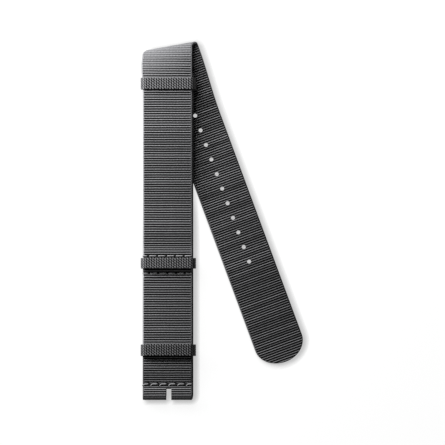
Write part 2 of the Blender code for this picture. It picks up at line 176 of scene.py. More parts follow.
def evenPoints(points, reach, spacing):     # the same line with evenly spaced points
    lengths = np.linspace(0, reach[-1], int(reach[-1] / spacing) + 1)
    return lengths, np.stack([np.interp(lengths, reach, points[:, axis]) for axis in range(3)], 1)


def softened(points, count):        # the mean of every so many points on end
    share = np.ones(count) / count
    return np.stack([np.convolve(points[:, axis], share, "valid") for axis in range(3)], 1)


def course(stations, spacing=0.1, softening=9):
    points = np.array(stations, float)
    step = np.linalg.norm(np.diff(points[:, :2], axis=0), axis=1)
    points = points[np.concatenate([[True], step > 1e-6])]
    lengths, even = evenPoints(points, reachAlong(points[:, :2]), spacing)
    half = softening // 2       # rounds the small corners that the stations leave
    before = even[0] + (even[0] - even[1]) * np.arange(half, 0, -1)[:, None]
    after = even[-1] + (even[-1] - even[-2]) * np.arange(1, half + 1)[:, None]
    soft = softened(np.concatenate([before, even, after]), softening)
    run = np.gradient(soft[:, :2], lengths, axis=0)
    run /= np.linalg.norm(run, axis=1)[:, None]
    facing = np.stack([-run[:, 1], run[:, 0]], 1)
    return {"lengths": lengths, "points": soft, "facing": facing}


def onCourse(line, length, out):
    along, height, side = (np.interp(length, line["lengths"], line["points"][:, axis]) for axis in range(3))
    along = along + out * np.interp(length, line["lengths"], line["facing"][:, 0])
    height = height + out * np.interp(length, line["lengths"], line["facing"][:, 1])
    return along, height, side


def lengthAt(line, along, after=0.0):       # how far along the webbing it passes a place
    places, lengths = line["points"][:, 0], line["lengths"]
    for index in range(len(lengths) - 1):
        low, high = sorted((places[index], places[index + 1]))
        if lengths[index + 1] > after and low <= along <= high and low < high:
            share = (along - places[index]) / (places[index + 1] - places[index])
            return lengths[index] + share * (lengths[index + 1] - lengths[index])
    return lengths[-1]


def frontStations():
    shift = strap["lowerShift"]
    middle, loopTop = halfWeb + barRadius, halfWeb + 2 * barRadius
    stations = [(strap["fixedKeeper"], halfWeb, shift), (loopCentre, halfWeb, shift)]
    stations += turn((loopCentre, middle), barRadius, (-math.pi / 2, -3 * math.pi / 2), (shift, 0))
    stations += ramp((loopCentre, loopTop, 0), (strap["slotRow"] - bends["beforeSlotRow"], rowLevel, 0))
    stations.append((strap["slotRow"] + bends["afterSlotRow"], rowLevel, 0))
    stations.append((strap["slotRow"] + bends["toTunnel"], tunnelLevel, 0))
    stations.append((strap["lowerRow"] - bends["beforeLowerRow"], tunnelLevel, 0))
    pinched = tunnelLevel - strap["pinch"]
    stations += ramp(stations[-1], (strap["lowerRow"] - bends["atLowerRow"], pinched, 0))
    stations += ramp(stations[-1], (strap["fixedKeeper"] - bends["besideKeeper"], tunnelLevel, 0))
    stations.append((strap["fixedKeeper"] + bends["besideKeeper"], tunnelLevel, 0))
    stations += ramp(stations[-1], (strap["climbStart"], rowLevel, 0))
    stations.append((strap["climbEnd"], frontLevel, 0))
    stations.append((foldStart + bends["pastFold"], frontLevel, 0))
    return stations


def foldStations():
    entry, radius = fold["entryTurn"], fold["bendRadius"]
    stations = [(0, frontLevel, 0)]
    stations += turn((0, frontLevel - entryRadius), entryRadius, (math.pi / 2, math.pi / 2 - entry), (0, 0))
    sides = (0, fold["slip"] + fold["bow"])
    stations += turn((bendCentre, bendLevel), radius, (math.pi / 2 - entry, -math.pi / 2), sides)
    for share in np.linspace(0, 1, 25)[1:]:
        side = fold["slip"] + fold["bow"] * (1 - ease(share))
        stations.append((bendCentre - fold["bowReach"] * share, halfWeb, side))
    stations.append((bendCentre - tailReach, halfWeb, fold["slip"]))
    return stations


def underStations():
    shift = strap["lowerShift"]
    radius = strap["bandThickness"] / 2 + strap["layerGap"] + halfWeb
    stations = [(strap["fixedKeeper"], halfWeb, shift), (strap["climbStart"], halfWeb, shift)]
    stations += [(strap["climbEnd"], underLevel, shift), (endKeeperEdge, underLevel, shift)]
    angles = (math.pi / 2, -math.pi / 2)
    stations += turn((endKeeperEdge, underLevel - radius), radius, angles, (shift, shift))
    riseStart = endKeeperEdge - strap["bandWidth"] - strap["layerGap"]
    stations.append((riseStart, underLevel - 2 * radius, shift))
    stations += ramp(stations[-1], (riseStart - bends["underEndRise"], underLevel - webStep, shift))
    stations.append((riseStart - bends["underEndFlat"], underLevel - webStep, shift))
    return stations


skew = fold["skew"]
bendLevel = halfWeb + fold["bendRadius"]
foldDrop = frontLevel - halfWeb - fold["bendRadius"] * (1 + math.cos(fold["entryTurn"]))
entryRadius = foldDrop / (1 - math.cos(fold["entryTurn"]))
bendCentre = (entryRadius - fold["bendRadius"]) * math.sin(fold["entryTurn"])
crestReach = bendCentre + fold["bendRadius"] + halfWeb
foldStart = strap["crest"] - crestReach / math.cos(skew)
tipPlace = tail["firstHole"] + tail["holePitch"] * (tail["holes"] - 1) + tail["lastHoleToTip"]
tailReach = tipPlace + tail["holePitch"]        # the course runs on past the tip
bendStart = entryRadius * fold["entryTurn"]
bendEnd = bendStart + fold["bendRadius"] * (math.pi - fold["entryTurn"])

frontLine = course(frontStations())
foldLine = course(foldStations())
underLine = course(underStations())
loopMiddle = lengthAt(frontLine, loopCentre) + math.pi * barRadius / 2
underTurned = lengthAt(underLine, endKeeperEdge) + bends["pastTurn"]        # it runs back from here


def upperLength(along):     # how far along it the long strap passes a place in its upper layer
    return lengthAt(frontLine, along, loopMiddle)


frontLength = upperLength(foldStart)
foldAlong = np.array([math.cos(skew), math.sin(skew)])
foldAcross = np.array([-math.sin(skew), math.cos(skew)])


def toWorld(x, y, z):
    return np.stack([(x + originX) * mm, (y + originY) * mm, z * mm], 1)


def foldAcrossAt(width, length):        # how far past the fold's start, square to its line
    return (length - frontLength) * math.cos(skew) - width * math.sin(skew)


def longPlace(flat):        # flat rows of (across, along, out) on the long strap, to the world
    width, length, out = flat.T
    width = width - np.interp(length, *swell) * np.clip(-width / halfWidth, 0, 1)
    along = width * math.cos(skew) + (length - frontLength) * math.sin(skew)
    across = foldAcrossAt(width, length)
    y, z, side = onCourse(frontLine, length, out)
    a, h, slide = onCourse(foldLine, across, out)
    foldX = foldAlong[0] * (along + slide) + foldAcross[0] * a
    foldY = foldStart + foldAlong[1] * (along + slide) + foldAcross[1] * a
    folded = across > 0
    return toWorld(np.where(folded, foldX, width + side), np.where(folded, foldY, y), np.where(folded, h, z))


def underPlace(flat):       # the same for the under strap
    width, length, out = flat.T
    y, z, side = onCourse(underLine, length, out)
    return toWorld(width + side, y, z)


def foldLineLength(width, across):      # where a line along the fold crosses the flat strap
    return frontLength + (across + width * math.sin(skew)) / math.cos(skew)


def tailLength(fromCrest):
    return frontLength + bendEnd / math.cos(skew) + (bendCentre - crestReach) / math.cos(skew) + fromCrest


# Webbing: ribs across the strap, their ends joined in pairs by the turning weft, and a plain rim

weave = {
    "ribPitch": 0.968,
    "ribDepth": 0.40,
    "ribShares": [0.0, 0.11, 0.28, 0.5, 0.72, 0.89],
    "crownPower": 0.9,
    "crownUneven": 0.06,
    "wander": [(0.012, 0.55, 0.21), (0.008, 1.7, -0.13)],   # waves in the ribs: size, turns across and along
    "yarnPitch": 1.254,     # the lengthwise yarns, drawn in groups of four as the eye sees them
    "edgeColumns": [0.0, 0.05, 0.14, 0.26, 0.38, 0.5, 0.62, 0.76, 0.9, 1.06, 1.4, 2.2, 3.4, 4.8, 6.4, 8.2],
    "columnGap": 0.35,
    "rowGap": 0.03,
    "edgeRound": 0.38,
    "edgeThin": 0.8,
    "turnIn": 0.24,         # the weft turns this far inside the rim and joins the ends of two ribs
    "turnWidth": 0.2,
    "turnShare": 0.26,
    "ribEnd": 0.12,
    "rim": 0.42,            # plain woven edge outside the ribs' ends
    "rimForm": 0.7,
    "rimBeads": 0.06,
    "beadTurn": 1.2,
    "rimTone": 0.82,
    "rimPaintedSideLight": 0.04,        # painted light: the right rim is this much darker, the left one lighter
    "backRimTone": 0.72,
    "sideTone": 0.745,      # on the webbing's own edge, where the weft turns back
    "sideReach": 0.16,
    "endRim": 0.14,         # both rims are darker by the slotted end, up to this far along
    "endRimReach": 20.0,
    "endRimRight": 0.4,     # the right one less so
    "faceTone": 0.9,
    "backHighlightNarrow": 2.2,      # the back shows a narrower, brighter painted highlight on its crowns than the face
    "open": 0.86,           # how far the fold's outside stretches the ribs flat, and how far round it
    "openFill": 0.7,
    "openTone": 0.8,
    "openGroove": 0.67,     # the grooves' tone there before they open, and from where on
    "openStart": 0.05,
    "openReach": 7.6,
    "openLean": 2.4,        # further on the left than on the right
    "openPower": 1.3,
    "openRim": 0.3,
    "loopOpen": 0.9,        # the loop's outside is stretched too
    "loopReach": 2.5,
    "loopPower": 4,
    "loopTone": 0.735,
    "crestOpen": 0.6,       # and the fold's inside is pressed, with paler grooves and duller crowns
    "crestOpenTone": 0.75,
    "crestOpenReach": 16.0,
    "swell": [      # how far the left edge runs out of its line, by the place along the front leg
        (37, 0.3), (82, 0.13), (119, 0.18), (130, 0.25), (134, 0.7), (138, 0.8),
    ],
    "creep": [      # how far the ribs have moved towards the slotted end, by the same place
        (1.2, 0.25), (3, 0.55), (13, 0.88), (29, 0.7), (35, 0.68), (41, 0.6), (47, 0.58), (65.5, 0.27),
        (74, 0.09), (82, 0.1), (90, 0.09), (107, 0.06), (115, 0.06), (122, 0.1), (139, 0.0),
    ],
    "tailCreep": [      # the same along the tail, by the distance from the fold's crest
        (8, 0.0), (20, 0.14), (33, 0.17), (39, 0.29), (45, 0.35), (70, 0.36), (82, 0.45), (95, 0.42),
        (107, 0.36), (119, 0.2), (136, 0.05),
    ],
    "tailSwell": 0.4,
    "crestCorner": 0.05,
    "crestCornerReach": 1.5,
    "pitReach": 0.36,       # the needle's holes at the ends of each stitch, sunk and darkened with painted shade
    "pitDepth": 1.2,
    "pitFloor": -0.4,
}

stitching = {
    "diameter": 0.5,
    "holes": 5,             # between six stitches, the outer two turning over the edges
    "pitch": 3.62,
    "space": 0.85,
    "proud": 0.36,
    "sunk": -0.06,          # threads between two layers lie in the grooves
    "deep": -0.5,
    "firstHole": {"slot": -7.3, "lower": -7.38, "upper": -7.8, "end": -7.24},
    "lean": {"slot": 0.55, "lower": 0.0, "upper": 0.0, "end": 0.0},
    "leanTop": 0.4,
    "plies": 3,
    "plyDepth": 0.13,
    "twistPitch": 1.5,
    "pitColumns": [-0.42, -0.14, 0.14, 0.42],       # places across beside each of the needle's holes
    "columnGap": 0.16,
}

tipLength = tailLength(tipPlace)
crestAcross = bendStart + fold["bendRadius"] * (math.pi / 2 - fold["entryTurn"])
leftCrest = foldLineLength(-halfWidth, crestAcross)
cornerReach = weave["crestCornerReach"]
endRimLength = upperLength(weave["endRimReach"])

# swell and creep as lengths along the long strap, and the shift at each
swell = (
    [*(upperLength(along) for along, _ in weave["swell"]),
     leftCrest - cornerReach, leftCrest, leftCrest + cornerReach],
    [*(out for _, out in weave["swell"]), weave["tailSwell"], weave["crestCorner"], weave["tailSwell"]],
)
creep = (
    [*(upperLength(along) for along, _ in weave["creep"]),
     *(tailLength(along) for along, _ in weave["tailCreep"])],
    [moved for _, moved in (*weave["creep"], *weave["tailCreep"])],
)


def hashed(number, salt):       # an even value from 0 to 1 for each whole number, the same on each run
    return np.modf(np.abs(np.sin(number * 12.9898 + salt * 78.233)) * 43758.5453)[0]


def ribPlace(length):       # how many ribs from the cut end, with the uneven lie of the ribs
    return (length + np.interp(length, *creep)) / weave["ribPitch"]


def ribLength(place):       # the other way round
    lengths = np.linspace(-5, 420, 8501)        # more than the whole strap, every 0.05 mm
    return np.interp(place, ribPlace(lengths), lengths)


def ribForm(width, length, rimTone, narrow):
    # 0 in a groove and 1 on a crown, and the tone there, with painted shade in the groove and a painted
    # highlight on the crown
    wander = sum(size * np.sin(width * across + length * along) for size, across, along in weave["wander"])
    place = ribPlace(length + wander)
    rib = np.floor(place)
    crown = np.sin(np.pi * (place - rib)) ** weave["crownPower"]
    crown = crown * (1 - weave["crownUneven"] + weave["crownUneven"] * hashed(rib, 1.0))
    fromEdge = halfWidth - np.abs(width)
    groove = np.round(place)        # the groove nearest this place
    joined = np.where(width < 0, groove % 2 == 0, groove % 2 == 1)
    nearGroove = np.exp(-((place - groove) / weave["turnShare"]) ** 2)
    weftTurn = np.exp(-((fromEdge - weave["rim"] - weave["turnIn"]) / weave["turnWidth"]) ** 2)
    crown = np.maximum(crown, joined * nearGroove * weftTurn)
    ended = np.clip((fromEdge - weave["rim"]) / weave["ribEnd"] + 1 / 3, 0, 1)
    beads = weave["rimBeads"] * np.cos(4 * np.pi * place + weave["beadTurn"] * np.sign(width))
    # painted light from the left on the rims
    rimTone = rimTone - weave["rimPaintedSideLight"] * np.sign(width)
    darker = weave["endRim"] * np.where(width < 0, 1.0, weave["endRimRight"])
    rimTone = rimTone - darker * (length < endRimLength)
    rimTone = rimTone + (weave["sideTone"] - rimTone) * np.exp(-(fromEdge / weave["sideReach"]) ** 2)
    # the crowns' painted highlight, narrower on the back
    shown = weave["faceTone"] * crown if narrow == 1 else np.clip(crown, 0, 1) ** narrow
    tone = shown * ended + (rimTone + beads) * (1 - ended)
    return crown * ended + (weave["rimForm"] + beads) * (1 - ended), tone


def ribsOpened(width, length):      # how flat the fold's outside pulls the long strap's ribs
    reach = weave["openReach"] - weave["openLean"] * width / halfWidth
    inside = np.clip((halfWidth - weave["rim"] - width) / weave["openRim"], 0, 1)   # not on the right rim
    far = np.abs((foldAcrossAt(width, length) - crestAcross) / reach)
    return weave["open"] * inside * np.exp(-far ** weave["openPower"])


def stitchEnds(name, row):      # where the needle went through, from left to right
    pitch, gap, lean = stitching["pitch"], stitching["space"] / 2, stitching["lean"][name]
    for index in range(stitching["holes"]):
        hole = stitching["firstHole"][name] + index * pitch
        yield hole - gap, row + stitching["leanTop"] * lean
        yield hole + gap, row - lean


def webSurface(width, length, fromEdge, rows, opened, back=False):
    # half the thickness, and the tone, at each place of the flat webbing
    rimTone, narrow = (weave["backRimTone"], weave["backHighlightNarrow"]) if back else (weave["rimTone"], 1.0)
    form, tone = ribForm(width, length, rimTone, narrow)
    form = form + weave["openFill"] * (1 - form) * opened
    if back:
        far = (foldAcrossAt(width, length) - crestAcross) / weave["crestOpenReach"]
        tone = tone + (weave["crestOpenTone"] - tone) * weave["crestOpen"] * np.exp(-far ** 2)
    else:
        # where the ribs are stretched flat, the grooves' painted shade and the crowns' painted highlight give
        # way to one tone
        openTone = np.where(length < frontLength / 2, weave["loopTone"], weave["openTone"])
        grooved = np.maximum(tone, weave["openGroove"] * (opened > weave["openStart"]))
        tone = grooved + (openTone - grooved) * opened
    for name, row in rows:
        for across, along in stitchEnds(name, row):
            near = np.exp(-((width - across) ** 2 + (length - along) ** 2) / weave["pitReach"] ** 2)
            form = form - weave["pitDepth"] * near
            # painted shade in the needle's hole
            tone = tone * (1 - near)
    thick = halfWeb - weave["ribDepth"] * (1 - np.maximum(form, weave["pitFloor"]))
    rounding = np.clip(fromEdge / weave["edgeRound"], 0.0, 1.0)
    return thick * np.sqrt(1 - (1 - rounding) ** 2 * weave["edgeThin"]), tone


def webColumns(extra=()):       # places across the width, closest at the edges
    places = {side * (halfWidth - edge) for edge in weave["edgeColumns"] for side in (-1, 1)} | {0.0}
    clear = [place for place in places if all(abs(place - other) > weave["columnGap"] for other in extra)]
    return np.array(sorted([*clear, *extra]))


def ribRows(start, end):
    first, last = math.floor(ribPlace(start)), math.ceil(ribPlace(end))
    rows = ribLength([rib + share for rib in range(first, last + 1) for share in weave["ribShares"]])
    gap = weave["rowGap"]
    return np.array([start, *(row for row in rows if start + gap < row < end - gap), end])


def webMesh(width, length, out, cut=None):
    # Three grids of rows by columns. The upper and lower faces share them, and cut marks the cells that a
    # hole takes away.
    rows, columns = width.shape
    upper = np.stack([width, length, out], 2).reshape(-1, 3)
    lower = np.stack([width, length, -out], 2).reshape(-1, 3)
    index = np.arange(rows * columns).reshape(rows, columns)
    cut = np.zeros((rows - 1, columns - 1), bool) if cut is None else cut
    a, b, c, d = index[:-1, :-1], index[:-1, 1:], index[1:, 1:], index[1:, :-1]
    cells = np.stack([a, b, c, d], 2)[~cut]
    below = rows * columns
    faces = [cells, cells[:, ::-1] + below]
    solid = np.zeros((rows + 1, columns + 1), bool)
    solid[1:-1, 1:-1] = ~cut
    across = solid[1:, 1:-1] != solid[:-1, 1:-1]        # the rims that run across the strap
    along = solid[1:-1, 1:] != solid[1:-1, :-1]         # and those that run along it
    for rims, down, right in ((across, 0, 1), (along, 1, 0)):
        for row, column in np.argwhere(rims):
            ends = index[row, column], index[row + down, column + right]
            # turned so that the rim looks outwards
            near, far = ends if solid[row + 1, column + 1] == (right == 1) else ends[::-1]
            faces.append(np.array([[near, near + below, far + below, far]]))
    return np.concatenate([upper, lower]), np.concatenate(faces)


def toMesh(name, points, faces):
    mesh = bpy.data.meshes.new(name)
    mesh.vertices.add(len(points))
    mesh.vertices.foreach_set("co", points.astype(np.float32).ravel())
    mesh.loops.add(faces.size)
    mesh.loops.foreach_set("vertex_index", faces.astype(np.int32).ravel())
    mesh.polygons.add(len(faces))
    mesh.polygons.foreach_set("loop_start", np.arange(0, faces.size, faces.shape[1], dtype=np.int32))
    mesh.update(calc_edges=True)
    return mesh


def cutAlongFold(mesh, across, keepBefore):     # cuts the flat webbing along a line of the fold
    shape = bmesh.new()
    shape.from_mesh(mesh)
    normal = Vector((-math.sin(skew), math.cos(skew), 0)) * (1 if keepBefore else -1)
    parts = shape.verts[:] + shape.edges[:] + shape.faces[:]
    place = (0, foldLineLength(0, across), 0)
    made = bmesh.ops.bisect_plane(
        shape, geom=parts, dist=1e-6, plane_co=place, plane_no=normal, clear_outer=True
    )
    rim = [part for part in made["geom_cut"] if isinstance(part, bmesh.types.BMEdge)]
    bmesh.ops.edgeloop_fill(shape, edges=rim)
    shape.to_mesh(mesh)
    shape.free()


def markPlaces(mesh, name, marks):      # what the material reads: place across, place along, tone
    attribute = mesh.attributes.new(name, "FLOAT_VECTOR", "POINT")
    attribute.data.foreach_set("vector", marks.astype(np.float32).ravel())


def flatWeb(width, length, rows=(), cut=None, fromEdge=None, opened=0.0):
    # a flat piece, woven and marked
    fromEdge = halfWidth - np.abs(width) if fromEdge is None else fromEdge
    out, tone = webSurface(width, length, fromEdge, rows, opened)
    backTone = webSurface(width, length, fromEdge, rows, opened, back=True)[1]
    points, faces = webMesh(width, length, out, cut)
    mesh = toMesh("webbing", points, faces)
    ribs = ribPlace(length) * weave["ribPitch"]
    marks = [np.stack([width * mm, ribs * mm, shown], 2).reshape(-1, 3) for shown in (tone, backTone)]
    markPlaces(mesh, "weavePlace", np.concatenate(marks))
    return mesh


def webPiece(name, mesh, place, body, *nodes):      # carries the flat webbing to where it lies
    flat = np.empty(len(mesh.vertices) * 3, np.float32)
    mesh.vertices.foreach_get("co", flat)
    flat = flat.reshape(-1, 3).astype(float)
    mesh.vertices.foreach_set("co", place(flat).astype(np.float32).ravel())
    mesh.update()
    return showPiece(name, mesh, webbing, "webbing", body, *nodes)


def showPiece(name, mesh, material, slotName, body, *nodes):
    mesh.materials.clear()
    mesh.materials.append(material)
    mesh.shade_smooth()
    piece = bpy.data.objects.new(name, mesh)
    bpy.context.scene.collection.objects.link(piece)
    if body:        # the fold's own piece is left without a body
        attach(piece, body)
    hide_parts(*nodes)
    return piece


def webGrid(start, end, extra=()):
    return np.meshgrid(webColumns(extra), ribRows(start, end))


def cellMiddles(grid):
    return (grid[:-1, :-1] + grid[1:, 1:]) / 2


def stitchColumns(rows):        # extra places across, so that the needle's holes can be modelled
    holes = [across for name, _ in rows for across, _ in stitchEnds(name, 0)]
    steps = sorted({round(hole + step, 2) for hole in holes for step in stitching["pitColumns"]})
    kept = steps[:1]
    for step in steps[1:]:
        if step - kept[-1] > stitching["columnGap"]:
            kept.append(step)
    return kept


def plainWeb(start, end, rows=(), folds=False):
    width, length = webGrid(start, end, stitchColumns(rows))
    return flatWeb(width, length, rows, opened=ribsOpened(width, length) if folds else 0.0)


# Materials

def linear(hexColour):
    values = [int(hexColour[place:place + 2], 16) / 255 for place in (1, 3, 5)]
    return [v / 12.92 if v <= 0.04045 else ((v + 0.055) / 1.055) ** 2.4 for v in values] + [1.0]


def addNode(tree, kind, inputs=(), **settings):     # each input gets a value, a socket or another node
    made = tree.nodes.new(kind)
    for name, value in settings.items():
        setattr(made, name, value)
    for place, value in inputs.items() if isinstance(inputs, dict) else enumerate(inputs):
        if isinstance(value, bpy.types.Node):
            tree.links.new(value.outputs[0], made.inputs[place])
        elif isinstance(value, bpy.types.NodeSocket):
            tree.links.new(value, made.inputs[place])
        else:
            made.inputs[place].default_value = value
    return made


def newMaterial(name):
    material = bpy.data.materials.new(name)
    material.use_nodes = True
    return material, material.node_tree, material.node_tree.nodes["Principled BSDF"]


def setStops(colour, *stops):       # the places and colours of a ramp
    for element, (place, hexColour) in zip(colour.color_ramp.elements, stops):
        element.position, element.color = place, linear(hexColour)


webFinish = {
    # the grooves' near black is painted shade, and the crowns' grey is partly a painted highlight
    "groove": "#040404",
    "crown": "#aaaaad",
    "grooveTone": 0.68,     # tones below this stay as dark as a groove
    "yarnRide": 0.57,
    "yarnTones": (0.79, 0.87),      # the yarns show from the first tone on, fully at the second
    "yarnShown": (0.004, 0.033),
    "fuzzSize": 0.5,        # mm, tufts of fibres, as the fibres themselves are too fine to show
    "fuzz": 0.09,
    "wearSize": 14.0,
    "wearNoise": (0.3, 0.7),
    "wear": (0.96, 1.04),
    "dye": (1.1, 0.9),      # painted light: lighter towards the left edge, darker towards the right one
    "tailFrom": 42.0,       # and painted shade darkens the tail, from here past the fold on
    "tailTo": 75.0,
    "tailPaintedShade": 0.76,
    "roughness": (0.56, 0.66),
    "gloss": 0.1,
    "sheen": 0.01,
    "bump": 0.7,
    "bumpDepth": 0.035,
}


def ribbedNylonWebbing():
    # Ribbed nylon webbing, woven on a narrow loom: thick crosswise weft under fine lengthwise yarns. The eye
    # sees bright crowns and near-black grooves, with a grain of yarns along each rib; the crowns carry a
    # painted highlight and the grooves painted shade.
    finish, half = webFinish, halfWidth * mm
    material, tree, shader = newMaterial("ribbedNylonWebbing")
    place = addNode(tree, "ShaderNodeAttribute", attribute_name="weavePlace").outputs["Vector"]
    width, length, tone = addNode(tree, "ShaderNodeSeparateXYZ", [place]).outputs
    flatPlace = addNode(tree, "ShaderNodeCombineXYZ", [width, length])
    # the lengthwise yarns ride high over every second rib and lie lower on the others
    rib = addNode(tree, "ShaderNodeMath", [length, weave["ribPitch"] * mm], operation="DIVIDE")
    whole = addNode(tree, "ShaderNodeMath", [rib], operation="FLOOR")
    halfTurns = addNode(tree, "ShaderNodeMath", [whole, math.pi], operation="MULTIPLY")
    odd = addNode(tree, "ShaderNodeMath", [halfTurns], operation="COSINE")
    ride = [odd, finish["yarnRide"], 1 - finish["yarnRide"]]
    high = addNode(tree, "ShaderNodeMath", ride, operation="MULTIPLY_ADD")
    yarnTurns = 2 * math.pi / (weave["yarnPitch"] * mm)
    turns = addNode(tree, "ShaderNodeMath", [width, yarnTurns], operation="MULTIPLY")
    wave = addNode(tree, "ShaderNodeMath", [turns], operation="SINE")
    yarn = addNode(tree, "ShaderNodeMath", [wave, high], operation="MULTIPLY")
    fine, coarse = 1 / (finish["fuzzSize"] * mm), 1 / (finish["wearSize"] * mm)
    fuzz = addNode(tree, "ShaderNodeTexNoise", {"Vector": flatPlace, "Scale": fine, "Detail": 3.0})
    worn = addNode(tree, "ShaderNodeTexNoise", {"Vector": flatPlace, "Scale": coarse, "Detail": 2.0})
    shown = addNode(tree, "ShaderNodeMapRange", [tone, *finish["yarnTones"], *finish["yarnShown"]])
    grained = addNode(tree, "ShaderNodeMath", [yarn, shown, tone], operation="MULTIPLY_ADD")
    tufts = addNode(tree, "ShaderNodeMath", [fuzz, 0.5], operation="SUBTRACT")
    lift = addNode(tree, "ShaderNodeMath", [tufts, finish["fuzz"], grained], operation="MULTIPLY_ADD")
    colour = addNode(tree, "ShaderNodeValToRGB", [lift])
    setStops(colour, (finish["grooveTone"], finish["groove"]), (1.0, finish["crown"]))
    patches = addNode(tree, "ShaderNodeMapRange", [worn, *finish["wearNoise"], *finish["wear"]])
    # painted light across the width
    toneWithPaintedSideLight = addNode(tree, "ShaderNodeMapRange", [width, -half, half, *finish["dye"]])
    tailFrom, tailTo = ((frontLength + finish[end]) * mm for end in ("tailFrom", "tailTo"))
    # painted shade, darker further down the tail
    paintedTailShade = addNode(tree, "ShaderNodeMapRange", [length, tailFrom, tailTo, 1.0, finish["tailPaintedShade"]])
    shade = addNode(tree, "ShaderNodeMath", [patches, toneWithPaintedSideLight], operation="MULTIPLY")
    shade = addNode(tree, "ShaderNodeMath", [shade, paintedTailShade], operation="MULTIPLY")
    tinted = addNode(tree, "ShaderNodeVectorMath", {0: colour, "Scale": shade}, operation="SCALE")
    tree.links.new(tinted.outputs[0], shader.inputs["Base Color"])
    rough = addNode(tree, "ShaderNodeMapRange", [fuzz, 0.0, 1.0, *finish["roughness"]])
    tree.links.new(rough.outputs[0], shader.inputs["Roughness"])
    shader.inputs["Specular IOR Level"].default_value = finish["gloss"]
    shader.inputs["Sheen Weight"].default_value = finish["sheen"]
    relief = addNode(tree, "ShaderNodeMath", [yarn, 0.5, fuzz], operation="MULTIPLY_ADD")
    depth = finish["bumpDepth"] * mm
    bump = addNode(tree, "ShaderNodeBump", {"Strength": finish["bump"], "Distance": depth, "Height": relief})
    tree.links.new(bump.outputs[0], shader.inputs["Normal"])
    return material


print("materials")
webbing = ribbedNylonWebbing()


# Long strap: front leg with its folded-in end and the slotted loop

slot = {
    "width": 2.0,
    "depth": 4.7,
    "offset": 0.45,
    "inner": 0.5,           # rows of points beside its edges
    "outer": 0.9,
    "outerShare": 0.4,
    "columnGap": 0.3,
}
frontJoin = float(ribLength(round(ribPlace(upperLength(strap["fixedKeeper"])))))


def makeEndWeb():       # the doubled end: folded-in layer, bar loop with the tongue's slot, up to the keeper
    left, right = slot["offset"] - slot["width"] / 2, slot["offset"] + slot["width"] / 2
    inner, outer = slot["inner"], slot["outer"]
    extra = [left - outer, left, left + inner, right - inner, right, right + outer]
    shares = (slot["outerShare"], 1, 1, 1, 1, slot["outerShare"])
    rows = []
    for name in ("slot", "lower"):
        place = strap[name + "Row"]
        rows += [(name, lengthAt(frontLine, place)), (name, upperLength(place))]
    apart = slot["columnGap"]
    stitched = [place for place in stitchColumns(rows) if all(abs(place - other) > apart for other in extra)]
    width, length = webGrid(strap["cutStart"], frontJoin, sorted([*extra, *stitched]))
    for column, share in zip(extra, shares):        # both layers' slots lie one over the other
        side = onCourse(frontLine, length[:, 0], 0)[2]
        width[:, np.isclose(width[0], column)] -= share * side[:, None]
    slotStart = lengthAt(frontLine, slot["depth"])
    slotEnd = upperLength(slot["depth"])
    for edge in (slotStart, slotEnd):       # the nearest row moves to the slot's end
        length[int(np.argmin(np.abs(length[:, 0] - edge))), :] = edge
    middleL = cellMiddles(length)
    middleW = cellMiddles(width) + onCourse(frontLine, middleL, 0)[2]
    cut = (middleW > left) & (middleW < right) & (middleL > slotStart) & (middleL < slotEnd)
    far = (length - loopMiddle) / weave["loopReach"]
    opened = weave["loopOpen"] * np.exp(-far ** weave["loopPower"])
    mesh = flatWeb(width, length, rows, cut, opened=opened)
    return webPiece("endWeb", mesh, longPlace, "front", "strap_buckle_loop", "strap_folded_end")


def makeFrontWeb():
    end = foldLineLength(halfWidth, bendStart) + strap["overrun"]
    upper = ("upper", upperLength(strap["upperRow"]))
    mesh = plainWeb(frontJoin, end, [upper], folds=True)
    cutAlongFold(mesh, bendStart, True)
    return webPiece("frontWeb", mesh, longPlace, "front", "strap_front")


def makeFoldWeb():
    start = foldLineLength(-halfWidth, bendStart) - strap["overrun"]
    end = foldLineLength(halfWidth, bendEnd) + strap["overrun"]
    mesh = plainWeb(start, end, folds=True)
    cutAlongFold(mesh, bendStart, False)
    cutAlongFold(mesh, bendEnd, True)
    return webPiece("foldWeb", mesh, longPlace, None, "strap_fold")


def tipNarrowed(width, length):     # the strap drawn in to its round tip, and the distance from its edge
    half, zone = halfWidth, tail["tipEdge"]
    share = np.clip((length - tipLength + tail["tipReach"]) / tail["tipReach"], 0, tail["tipShare"])
    halfHere = half * np.sqrt(1 - share ** 2)
    margin = half - np.abs(width)
    squeeze = np.clip(halfHere / tail["tipSqueeze"], 0, 1)
    inner = (halfHere - zone * squeeze) / (half - zone)
    reach = np.where(margin < zone, halfHere - margin * squeeze, np.abs(width) * inner)
    curved = (1 - np.sqrt((reach / half) ** 2 + share ** 2)) * tail["tipRound"]
    return reach * np.sign(width), np.maximum(np.where(share > 0, curved, half - reach), 0)


def holesCut(width, length):        # the cells that the holes take away, and the points moved onto their rims
    radius = tail["holeDiameter"] / 2
    centres = [tailLength(tail["firstHole"] + tail["holePitch"] * index) for index in range(tail["holes"])]
    middleW, middleL = cellMiddles(width), cellMiddles(length)
    cut = np.any([np.hypot(middleW, middleL - centre) < radius for centre in centres], axis=0)
    filled = np.pad((~cut).astype(int), 1)
    around = filled[1:, 1:] + filled[1:, :-1] + filled[:-1, 1:] + filled[:-1, :-1]
    for centre in centres:
        reach = np.hypot(width, length - centre)
        rim = (reach < radius + tail["holeSnap"]) & (around > 0) & (around < 4)
        scale = radius / np.where(rim, reach, radius)
        width, length = width * scale, centre + (length - centre) * scale
    return width, length, cut


